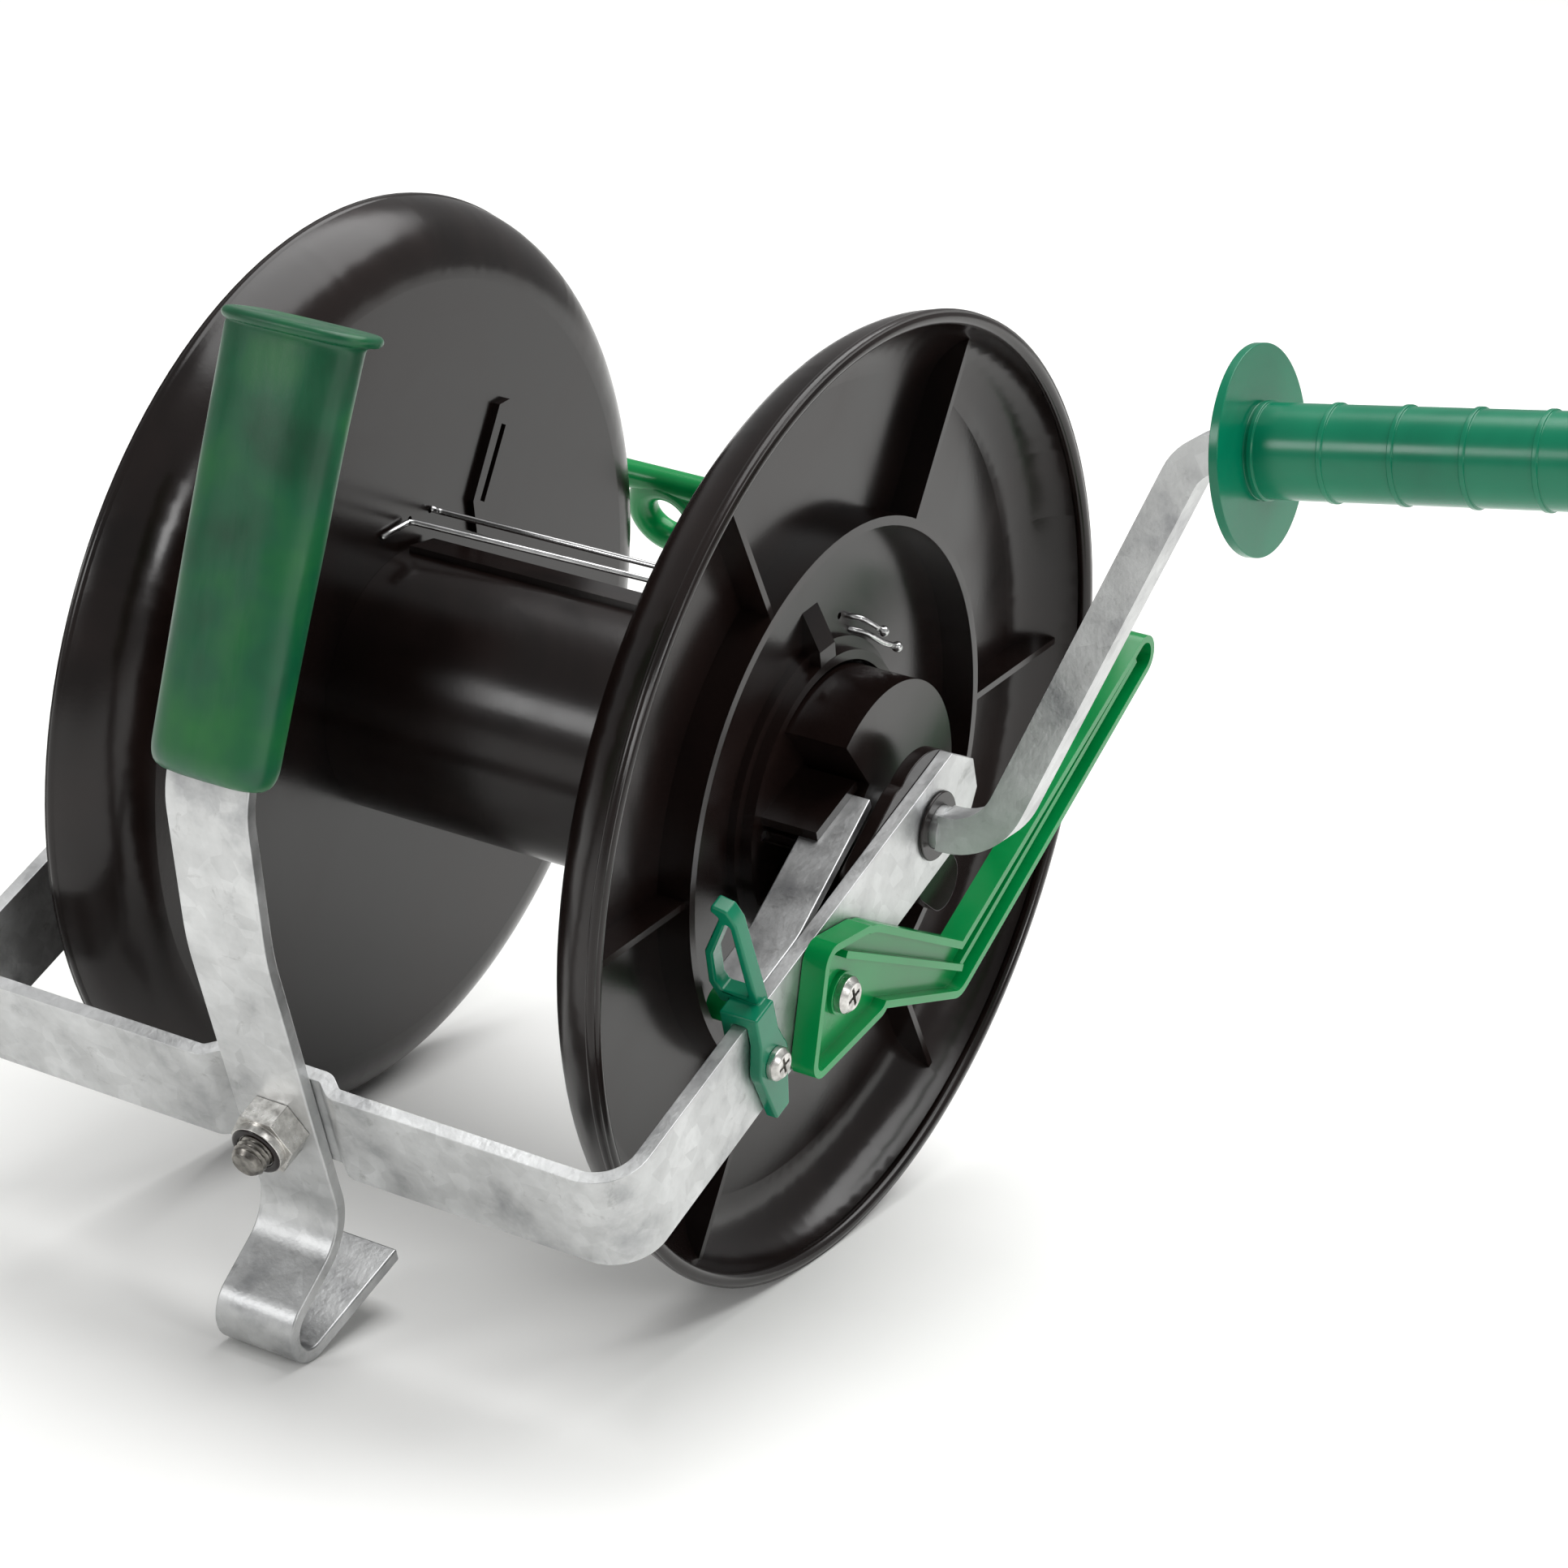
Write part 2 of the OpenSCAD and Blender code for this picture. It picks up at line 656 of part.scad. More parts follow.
module guide_screw() {
    color(zinc) stance() translate([-arm_in + 6, guide_y1, 0])
        rotate([0, -90, 0]) pan_screw(screw_m4, 6 + bar_t + guide_t + 2 * gap, 4.4, 3);
}

module guide_nut() {
    color(zinc) stance() translate([0, guide_y1, 0]) along_x(-arm_in + gap) nut(7, 3.2, screw_m4 + gap);
}

// ---------- drum ----------

// Half section of a flange: x is the radius, y the distance outward from the web's inner face
module flange_section(hub_in) {
    rise = lip_x - web_in;
    arc_c = flange_r - shoulder_r;
    translate([hub_in, 0]) square([arc_c - hub_in, wall]);
    intersection() {
        translate([arc_c, shoulder_r]) difference() {
            circle(shoulder_r);
            circle(shoulder_r - wall);
        }
        translate([arc_c, 0]) square([shoulder_r, min(rise, shoulder_r)]);
    }
    if (rise > shoulder_r)
        translate([flange_r - wall, shoulder_r - 0.1]) square([wall, rise - shoulder_r + 0.1]);
    // bead at the lip
    translate([flange_r - 1.9, rise - 1.6]) circle(1.9, $fn = 32);
    // stiffening ring
    translate([ring_r - 2.7, 0]) square([2.7, wall + ring_h]);
}

// Radial ribs between the stiffening ring and the rim, rounded into the shoulder
module flange_ribs() {
    for (k = [0 : rib_count - 1]) rotate(drum_clock + k * 360 / rib_count)
        translate([0, rib_t / 2, 0]) rotate([90, 0, 0]) linear_extrude(rib_t) intersection() {
            union() {
                translate([ring_r - 1, wall / 2]) square([flange_r - shoulder_r - ring_r + 1, ring_h]);
                intersection() {
                    translate([flange_r - shoulder_r, shoulder_r]) circle(shoulder_r - wall / 2);
                    translate([flange_r - shoulder_r - eps, 0]) square([shoulder_r - wall, wall / 2 + ring_h]);
                }
            }
            translate([0, 0]) square([flange_r, wall / 2 + ring_h]);
        }
}

module wire_holes(x, h) {
    for (w = wire_spots) rotate([w[1], 0, 0]) translate([0, w[0], 0])
        along_x(x) cylinder(r = wire_r + 0.1, h = h, $fn = 16);
}

module right_flange() {
    color(jet) stance() difference() {
        union() {
            along_x(web_in) rotate_extrude() flange_section(core_r - 0.9);
            along_x(web_in) flange_ribs();
            // stepped collar round the gear cover
            along_x(web_in) difference() {
                union() {
                    cylinder(r = 44, h = wall + 2.5);
                    cylinder(r = 41, h = wall + 6);
                }
                translate([0, 0, -1]) cylinder(r = core_r - 0.9, h = 20);
            }
            // block that braces the collar, with a sloped top
            rotate([75, 0, 0]) translate([web_in, 0, -4]) linear_extrude(8)
                polygon([[0, 39.5], [wall + 6, 39.5], [wall + 5.5, 45], [wall, 55.5], [0, 55.5]]);
        }
        wire_holes(web_in - 1, wall + 2);
    }
}

module left_flange() {
    color(jet) stance() difference() {
        union() {
            mirror([1, 0, 0]) along_x(web_in) rotate_extrude() flange_section(9);
            mirror([1, 0, 0]) along_x(web_in) flange_ribs();
            along_x(-web_out - 18) cylinder(r = 15, h = 19);
            // wedge-shaped pad on the inner face, with a slot where the line's end is tied
            along_x(-web_in - eps) linear_extrude(2) difference() {
                polygon([[44.5, 31.5], [65.5, 51.5], [70.5, 50], [79.5, 35], [80.2, 31], [78, 27.5],
                    [67.3, 21.2], [48.1, 15.5], [43, 21]]);
                polygon([[47.5, 29.6], [64.5, 45.4], [66.2, 43.6], [49.2, 27.8]]);
            }
        }
        along_x(-web_out - 19) cylinder(r = 9, h = 40);
        wire_holes(-web_out - 1, wall + 4);
        for (a = planet_angles) rotate([a, 0, 0]) translate([0, 30, 0])
            along_x(-web_out - 1) cylinder(r = 1.6, h = wall + 2);
    }
}

module drum_core() {
    color(jet) stance() difference() {
        union() {
            along_x(-web_in + gap) cylinder(r = core_r, h = wind_w - 2 * gap);
            // flat pad under the tie wires
            rotate([63, 0, 0]) translate([-web_in + 2, core_r - 2, -6]) cube([wind_w - 4, 3.5, 12]);
        }
        along_x(-web_in + 4) cylinder(r = core_r - wall, h = wind_w);
        along_x(-web_in - 1) cylinder(r = 9, h = 20);
        for (a = planet_angles) rotate([a, 0, 0]) translate([0, 30, 0])
            along_x(-web_in - 1) cylinder(r = 1.2, h = 10);
    }
}

module flange_screws() {
    color(zinc) stance() for (a = planet_angles) rotate([a, 0, 0]) translate([-web_in + 3.5, 30, 0])
        rotate([0, -90, 0]) pan_screw(1.15, 3.5 + wall + gap, 3.2, 2.2);
}

module hub_plate() {
    color(jet) stance() difference() {
        union() {
            along_x(hub_x) cylinder(r = core_r - wall - gap, h = 4);
            along_x(hub_x + 4) cylinder(r = 9, h = 2);
        }
        along_x(hub_x - 1) cylinder(r = spindle_r + run, h = 20);
    }
}

module sun_gear() {
    color([0.75, 0.74, 0.7]) stance() difference() {
        along_x(gear_x - 2 + gap) linear_extrude(gear_w + 2) gear_2d(sun_teeth, addendum, dedendum, backlash);
        along_x(gear_x - 5) cylinder(r = spindle_r + run, h = gear_w + 10);
    }
}

// Two tie wires stretched along the core, each with a leg turned over at both ends
module tie_wires() {
    color(zinc) stance() for (w = wire_spots) rotate([w[1], 0, 0]) translate([0, w[0], 0]) {
        along_x(-web_in + wire_r + 0.2) cylinder(r = wire_r, h = wind_w + wall + 1.8, $fn = 16);
        translate([-web_in + wire_r + 0.2, 0, -wire_r]) cylinder(r = wire_r, h = 16, $fn = 16);
        translate([web_out + wire_r + 1, 0, wire_r]) rotate([190, -25, 0]) cylinder(r = wire_r, h = 9, $fn = 16);
    }
}

// ---------- crank ----------

module crank_plane() {
    stance() rotate([crank_angle, 0, 0]) children();
}

// Frame of the grip: Z along the spigot, starting at the crank's upper corner
module grip_frame() {
    crank_plane() translate([corner_x, crank_r, 0]) rotate([0, 0, grip_tilt]) rotate([90, 0, 90]) children();
}

module crank_bar() {
    color(zinc) {
        crank_plane() {
            translate([crank_start, 0, -crank_t / 2]) linear_extrude(crank_t) bent(crank_path, crank_t);
            along_x(arm_in - 8) cylinder(r = journal_r, h = crank_start - arm_in + 8 + 0.5);
            along_x(hub_x - 3) cylinder(r = spindle_r, h = arm_in - 7 - hub_x + 3);
        }
        grip_frame() translate([0, 0, shoulder - 1]) cylinder(r = spigot_r, h = spigot_len);
    }
}

module planet_carrier() {
    color(zinc) crank_plane() difference() {
        along_x(carrier_x) cylinder(r = orbit_r + 5, h = carrier_t);
        along_x(carrier_x - 1) cylinder(r = spindle_r + gap, h = carrier_t + 2);
        for (a = planet_angles) rotate([a - crank_angle, 0, 0]) translate([0, orbit_r, 0])
            along_x(carrier_x - 1) cylinder(r = planet_bore + gap, h = carrier_t + 2);
    }
}

module planet_pins() {
    color(zinc) stance() for (a = planet_angles) rotate([a, 0, 0]) translate([0, orbit_r, 0])
        along_x(gear_x) cylinder(r = planet_bore, h = carrier_x + carrier_t - gear_x);
}

module carrier_clip() {
    color(zinc) stance() along_x(carrier_x + carrier_t + gap) difference() {
        cylinder(r = 8, h = 0.8);
        translate([0, 0, -1]) cylinder(r = spindle_r + gap, h = 3);
    }
}

module planet(i) {
    a = planet_angles[i];
    phase = a + 180 - 360 / planet_teeth * (0.5 - a * sun_teeth / 360);
    color([0.85, 0.84, 0.8]) stance() translate([0, orbit_r * cos(a), orbit_r * sin(a)])
        along_x(gear_x + 0.3) difference() {
            linear_extrude(gear_w) rotate(phase) gear_2d(planet_teeth, addendum, dedendum, backlash);
            translate([0, 0, -1]) cylinder(r = planet_bore + run, h = gear_w + 2);
        }
}

module planet_a() {
    planet(0);
}

module planet_b() {
    planet(1);
}

module planet_c() {
    planet(2);
}

module crank_grip() {
    ridges = floor((crank_grip_len - 5) / ridge_pitch);
    color(leaf) grip_frame() translate([0, 0, grip_at]) difference() {
        union() {
            cylinder(r = guard_r, h = guard_t);
            cylinder(r = crank_grip_r, h = crank_grip_len);
            for (k = [0 : ridges]) translate([0, 0, 3.5 + k * ridge_pitch]) cylinder(r = crank_grip_r + 0.5, h = 1.4);
        }
        translate([0, 0, -1]) cylinder(r = spigot_r + run, h = crank_grip_len + 2);
    }
}

module grip_cap() {
    color(jet) grip_frame() translate([0, 0, grip_at + crank_grip_len + 0.3]) difference() {
        cylinder(r = crank_grip_r - 1, h = cap_t);
        translate([0, 0, -1]) cylinder(r = spigot_r + gap, h = 1 + 3.5);
    }
}

frame_bar();
handle_bar();
hand_grip();
handle_bolt();
handle_nut();
torque_bracket();
ring_gear();
gear_cover();
cover_screws();
bearing_plate();
spindle_bush();
axle_bolt();
axle_nut();
axle_washers();
axle_bush();
brake_lever();
lever_screw();
lever_nut();
line_clip();
clip_screw();
clip_nut();
line_guide();
guide_screw();
guide_nut();
drum_core();
left_flange();
right_flange();
hub_plate();
sun_gear();
tie_wires();
flange_screws();
crank_bar();
planet_carrier();
planet_pins();
carrier_clip();
grip_cap();
crank_grip();
planet_a();
planet_b();
planet_c();
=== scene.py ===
import bpy
import bmesh
import json
import math
from mathutils import Matrix, Vector, noise


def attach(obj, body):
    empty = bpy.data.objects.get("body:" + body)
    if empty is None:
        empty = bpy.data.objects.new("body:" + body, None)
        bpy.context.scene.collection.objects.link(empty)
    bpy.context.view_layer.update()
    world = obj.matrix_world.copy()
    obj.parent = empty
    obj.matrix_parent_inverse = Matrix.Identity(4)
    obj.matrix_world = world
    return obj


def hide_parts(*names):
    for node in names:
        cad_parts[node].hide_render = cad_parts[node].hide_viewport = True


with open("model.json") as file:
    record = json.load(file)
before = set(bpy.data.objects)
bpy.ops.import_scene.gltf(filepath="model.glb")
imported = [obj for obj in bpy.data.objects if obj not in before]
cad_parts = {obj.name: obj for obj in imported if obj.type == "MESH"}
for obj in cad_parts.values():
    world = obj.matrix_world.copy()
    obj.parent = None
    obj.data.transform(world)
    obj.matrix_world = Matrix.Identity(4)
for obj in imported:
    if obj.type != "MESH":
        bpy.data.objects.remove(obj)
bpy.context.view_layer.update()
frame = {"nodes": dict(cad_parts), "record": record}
nodes = frame["nodes"]
mm = 0.001
reel = {"lean": 24.694, "barThick": 4.0, "reach": 161.9}  # degrees and mm
print("frame loaded:", len(nodes), "nodes")


def fromHex(code):
    channels = [int(code[i:i + 2], 16) / 255 for i in (1, 3, 5)]
    return [c / 12.92 if c <= 0.04045 else ((c + 0.055) / 1.055) ** 2.4 for c in channels] + [1.0]


def leaned(x, along, across):
    # mm in the frame's own directions, turned into the standing reel's metres
    lean = math.radians(reel["lean"])
    return Vector((x, along * math.cos(lean) - across * math.sin(lean),
                   along * math.sin(lean) + across * math.cos(lean))) * mm


def addNode(tree, kind, settings, links=()):
    # one node with its settings; each link is (input, node, output)
    node = tree.nodes.new(kind)
    for key, value in settings.items():
        if isinstance(key, int) or key in node.inputs:
            node.inputs[key].default_value = value
        else:
            setattr(node, key, value)
    for socket, source, output in links:
        tree.links.new(source.outputs[output], node.inputs[socket])
    return node


def addRamp(tree, stops, source, output):
    node = addNode(tree, "ShaderNodeValToRGB", {}, [("Fac", source, output)])
    while len(node.color_ramp.elements) < len(stops):
        node.color_ramp.elements.new(0.5)
    for element, (place, colour) in zip(node.color_ramp.elements, stops):
        element.position = place
        element.color = fromHex(colour) if isinstance(colour, str) else [colour] * 3 + [1]
    return node


def newMaterial(name):
    material = bpy.data.materials.new(name)
    material.use_nodes = True
    tree = material.node_tree
    shader = tree.nodes["Principled BSDF"]
    coords = addNode(tree, "ShaderNodeTexCoord", {})
    return material, tree, shader, coords


def joinShader(tree, shader, settings, colour, rough=None, bump=None):
    # the shader's plain values, then its links; colour is (node, output)
    for key, value in settings.items():
        shader.inputs[key].default_value = value
    node, output = colour
    tree.links.new(node.outputs[output], shader.inputs["Base Color"])
    if rough:
        tree.links.new(rough.outputs["Color"], shader.inputs["Roughness"])
    if bump:
        tree.links.new(bump.outputs["Normal"], shader.inputs["Normal"])


def perMetre(sizeMm):
    # texture scale for features of that size
    return 1000 / sizeMm


def makeGalvanised():
    # hot-dip galvanised mild steel: dull bright grey with cloudy patches, faint spangle
    # and a lightly rough skin
    material, tree, shader, coords = newMaterial("galvanisedSteelHotDipped")
    cloud = addNode(tree, "ShaderNodeTexNoise", {"Scale": perMetre(22), "Detail": 5, "Roughness": 0.6},
                    [("Vector", coords, "Object")])
    spangle = addNode(tree, "ShaderNodeTexVoronoi", {"Scale": perMetre(5), "Randomness": 1},
                      [("Vector", coords, "Object")])
    tone = addRamp(tree, [(0.28, "#9d9ea0"), (0.45, "#c5c6c6"), (0.62, "#d7d8d8"), (0.8, "#babbbb")],
                   cloud, "Fac")
    flake = addRamp(tree, [(0.0, "#c9c9c9"), (1.0, "#ffffff")], spangle, "Color")
    mix = addNode(tree, "ShaderNodeMix", {"data_type": "RGBA", "blend_type": "MULTIPLY", 0: 0.35},
                  [(6, tone, "Color"), (7, flake, "Color")])
    smudge = addNode(tree, "ShaderNodeTexNoise",
                     {"Scale": perMetre(9), "Detail": 8, "Roughness": 0.7, "Distortion": 0.6},
                     [("Vector", coords, "Object")])
    dirt = addRamp(tree, [(0.6, "#ffffff"), (0.72, "#8f8d8a")], smudge, "Fac")
    worn = addNode(tree, "ShaderNodeMix", {"data_type": "RGBA", "blend_type": "MULTIPLY", 0: 0.45},
                   [(6, mix, 2), (7, dirt, "Color")])
    rough = addRamp(tree, [(0.3, 0.36), (0.7, 0.54)], cloud, "Fac")
    grain = addNode(tree, "ShaderNodeTexNoise", {"Scale": perMetre(1.6), "Detail": 4},
                    [("Vector", coords, "Object")])
    bump = addNode(tree, "ShaderNodeBump", {"Strength": 0.22, "Distance": 0.0004}, [("Height", grain, "Fac")])
    joinShader(tree, shader, {"Metallic": 1}, (worn, 2), rough, bump)
    return material


def makeZincPlated():
    # bright zinc-plated steel hardware: smoother and shinier than the bars, with small dull spots
    material, tree, shader, coords = newMaterial("zincPlatedSteelBright")
    spots = addNode(tree, "ShaderNodeTexNoise", {"Scale": perMetre(3), "Detail": 4, "Roughness": 0.6},
                    [("Vector", coords, "Object")])
    tone = addRamp(tree, [(0.3, "#9c9a96"), (0.55, "#cfcdc9"), (0.75, "#e2e1de")], spots, "Fac")
    rough = addRamp(tree, [(0.3, 0.42), (0.7, 0.22)], spots, "Fac")
    bump = addNode(tree, "ShaderNodeBump", {"Strength": 0.1, "Distance": 0.0002}, [("Height", spots, "Fac")])
    joinShader(tree, shader, {"Metallic": 1}, (tone, "Color"), rough, bump)
    return material


def makeDarkThreadSteel():
    # rolled steel thread, coloured a darker grey and smoother than the plated nut around it
    material, tree, shader, coords = newMaterial("boltThreadSteelDarkGrey")
    threadMottle = addNode(tree, "ShaderNodeTexNoise", {"Scale": perMetre(2.5), "Detail": 4},
                   [("Vector", coords, "Object")])
    tone = addRamp(tree, [(0.35, "#5e5b57"), (0.7, "#98958f")], threadMottle, "Fac")
    joinShader(tree, shader, {"Metallic": 1, "Roughness": 0.32}, (tone, "Color"))
    return material


def makeDrawnWire():
    # drawn steel wire: bright, with fine marks along its length
    material, tree, shader, coords = newMaterial("steelWireDrawn")
    stretch = addNode(tree, "ShaderNodeMapping", {"Scale": (0.05, 1, 1)}, [("Vector", coords, "Object")])
    marks = addNode(tree, "ShaderNodeTexNoise", {"Scale": perMetre(0.8), "Detail": 3},
                    [("Vector", stretch, "Vector")])
    tone = addRamp(tree, [(0.3, "#a8a8a8"), (0.7, "#e4e4e4")], marks, "Fac")
    joinShader(tree, shader, {"Metallic": 1, "Roughness": 0.25}, (tone, "Color"))
    return material


def makeMoulded(name, low, high, roughLow, roughHigh, grainMm, grainDepth, sheen=0.5):
    # injection-moulded plastic: an even colour with slow cloudy changes from the melt,
    # and a fine pebbled skin
    material, tree, shader, coords = newMaterial(name)
    flow = addNode(tree, "ShaderNodeTexNoise", {"Scale": perMetre(45), "Detail": 4, "Distortion": 0.8},
                   [("Vector", coords, "Object")])
    tone = addRamp(tree, [(0.3, low), (0.7, high)], flow, "Fac")
    rough = addRamp(tree, [(0.3, roughLow), (0.7, roughHigh)], flow, "Fac")
    grain = addNode(tree, "ShaderNodeTexNoise", {"Scale": perMetre(grainMm), "Detail": 3, "Roughness": 0.6},
                    [("Vector", coords, "Object")])
    bump = addNode(tree, "ShaderNodeBump", {"Strength": grainDepth, "Distance": 0.0002},
                   [("Height", grain, "Fac")])
    joinShader(tree, shader, {"IOR": 1.5, "Specular IOR Level": sheen}, (tone, "Color"), rough, bump)
    return material


def makeDippedVinyl():
    # plasticised vinyl, dip-coated: a soft sheen over uneven green, with faint drag lines
    # and shallow ripples
    material, tree, shader, coords = newMaterial("vinylDipped")
    cloud = addNode(tree, "ShaderNodeTexNoise", {"Scale": perMetre(30), "Detail": 3},
                    [("Vector", coords, "Object")])
    tone = addRamp(tree, [(0.3, "#003a22"), (0.5, "#005030"), (0.72, "#14662a")], cloud, "Fac")
    stretch = addNode(tree, "ShaderNodeMapping", {"Scale": (1, 1, 0.08)}, [("Vector", coords, "Object")])
    drag = addNode(tree, "ShaderNodeTexNoise", {"Scale": perMetre(3.5), "Detail": 5},
                   [("Vector", stretch, "Vector")])
    rough = addRamp(tree, [(0.3, 0.3), (0.7, 0.46)], drag, "Fac")
    ripple = addNode(tree, "ShaderNodeBump", {"Strength": 0.12, "Distance": 0.0006},
                     [("Height", drag, "Fac")])
    skin = addNode(tree, "ShaderNodeTexNoise", {"Scale": perMetre(1), "Detail": 2},
                   [("Vector", coords, "Object")])
    bump = addNode(tree, "ShaderNodeBump", {"Strength": 0.05, "Distance": 0.0002},
                   [("Height", skin, "Fac"), ("Normal", ripple, "Normal")])
    settings = {"IOR": 1.53, "Specular IOR Level": 0.4, "Subsurface Weight": 0.05,
                "Subsurface Radius": (0.002, 0.004, 0.002)}
    joinShader(tree, shader, settings, (tone, "Color"), rough, bump)
    return material


finishes = {
    "galvanised_steel": makeGalvanised(),
    "zinc_hardware": makeZincPlated(),
    # darker grey colour for the bolt's thread
    "dark_thread_steel": makeDarkThreadSteel(),
    "steel_wire": makeDrawnWire(),
    "black_plastic": makeMoulded("polypropyleneMouldedBlack", "#0c0706", "#1a110f", roughLow=0.17, roughHigh=0.27,
                                 grainMm=1.4, grainDepth=0.07, sheen=0.38),
    "green_vinyl": makeDippedVinyl(),
    "green_plastic": makeMoulded("polypropyleneMouldedGreen", "#007a3a", "#008c48", roughLow=0.18, roughHigh=0.28,
                                 grainMm=1.2, grainDepth=0.05, sheen=0.4),
    "teal_plastic": makeMoulded("polypropyleneMouldedTeal", "#006448", "#007856", roughLow=0.18, roughHigh=0.28,
                                 grainMm=1.2, grainDepth=0.05, sheen=0.4),
    "white_nylon": makeMoulded("nylonMouldedNatural", "#c9c6bb", "#dbd8cf", roughLow=0.4, roughHigh=0.5,
                               grainMm=1.0, grainDepth=0.05),
}
slotOf = {entry["node"]: entry["material_slot"] for entry in frame["record"]["subparts"]}
print("materials made:", len(finishes))


edgeBreak = {  # mm taken off sharp edges; 0 leaves the piece as it is
    "frame_bar": 0.7, "handle_bar": 0.7, "torque_bracket": 0.4, "crank_bar": 1.2, "brake_lever": 0.9,
    "line_clip": 0.7, "gear_cover": 0.5,
    "bearing_plate": 0.5, "spindle_bush": 0.4, "handle_nut": 0.5, "axle_bolt": 0.5, "axle_nut": 0.5,
    "line_guide": 0.8, "lever_screw": 0.2, "clip_screw": 0.2, "guide_screw": 0.2, "lever_nut": 0.2,
    "clip_nut": 0.2, "guide_nut": 0.2, "crank_grip": 0.3, "grip_cap": 0.8, "axle_washers": 0.2,
}
cadFinish = {"mergeWithin": 0.01, "flatBelow": 0.6, "bevelSteps": 3, "bevelAbove": 32,
             "normalWeight": 60}  # mm and degrees


def finishCad(name, obj):
    obj.data.materials.clear()
    obj.data.materials.append(finishes[slotOf[name]])
    obj.data.polygons.foreach_set("use_smooth", [True] * len(obj.data.polygons))
    width = edgeBreak.get(name, 0)
    if width:
        weld = obj.modifiers.new("weld", "WELD")
        weld.merge_threshold = cadFinish["mergeWithin"] * mm
        flat = obj.modifiers.new("flat", "DECIMATE")
        flat.decimate_type = "DISSOLVE"
        flat.angle_limit = math.radians(cadFinish["flatBelow"])
        edge = obj.modifiers.new("edge", "BEVEL")
        edge.width = width * mm
        edge.segments = cadFinish["bevelSteps"]
        edge.limit_method = "ANGLE"
        edge.angle_limit = math.radians(cadFinish["bevelAbove"])
        edge.miter_outer = "MITER_ARC"
    level = obj.modifiers.new("level", "WEIGHTED_NORMAL")
    level.mode = "FACE_AREA"
    level.weight = cadFinish["normalWeight"]


for name, obj in nodes.items():
    finishCad(name, obj)
print("CAD pieces finished")


def buildMesh(name, verts, faces, slot, body, *stands):
    mesh = bpy.data.meshes.new(name)
    mesh.from_pydata([tuple(v) for v in verts], [], faces)
    mesh.validate()
    tidy = bmesh.new()
    tidy.from_mesh(mesh)
    bmesh.ops.recalc_face_normals(tidy, faces=tidy.faces)
    tidy.to_mesh(mesh)
    tidy.free()
    mesh.polygons.foreach_set("use_smooth", [True] * len(mesh.polygons))
    obj = bpy.data.objects.new(name, mesh)
    bpy.context.scene.collection.objects.link(obj)
    obj.data.materials.append(finishes[slot])
    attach(obj, body)
    if stands:
        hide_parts(*stands)
    return obj


def appendShape(verts, faces, more):
    # adds a second skin's points and faces to a mesh in the making
    moreVerts, moreFaces = more
    faces += [tuple(v + len(verts) for v in face) for face in moreFaces]
    verts += moreVerts


def bridgeRings(rings, capStart=True, capEnd=True):
    # closed rings of equal length, joined into one skin
    count = len(rings[0])
    verts = [v for ring in rings for v in ring]
    faces = []
    for i in range(len(rings) - 1):
        for j in range(count):
            k = (j + 1) % count
            faces.append((i * count + j, i * count + k, (i + 1) * count + k, (i + 1) * count + j))
    if capStart:
        faces.append(tuple(reversed(range(count))))
    if capEnd:
        faces.append(tuple(range((len(rings) - 1) * count, len(rings) * count)))
    return verts, faces


handGrip = {  # mm and degrees
    "length": 115, "over": 8, "bow": 37, "topAlong": -85.64, "topAcross": 191.74,
    "halfWide": 16.9, "halfDeep": 9.2, "roundness": 3.0, "flare": 1.7, "swell": 0.9, "askew": 1.7,
    "rim": 3.2, "rimWide": (0.6, 1.9), "rimDeep": (0.4, 1.6), "rimShift": 1.5,
    "endRound": 7, "endNarrow": 3.2, "endThin": 6.0, "lift": 1.6,
    "waveAcross": 0.05, "waveAlong": 0.035, "waveSize": 0.5, "rings": 60, "points": 56,
    "rimPlaces": (0, 0.04, 0.12, 0.3, 0.5, 0.7, 0.88, 0.96, 1.0, 1.06),
}


def gripSection(halfWide, halfDeep, power, count):
    # rounded oblong outline
    outline = []
    for j in range(count):
        a = 2 * math.pi * j / count
        c, s = math.cos(a), math.sin(a)
        outline.append((halfWide * math.copysign(abs(c) ** (2 / power), c),
                        halfDeep * math.copysign(abs(s) ** (2 / power), s)))
    return outline


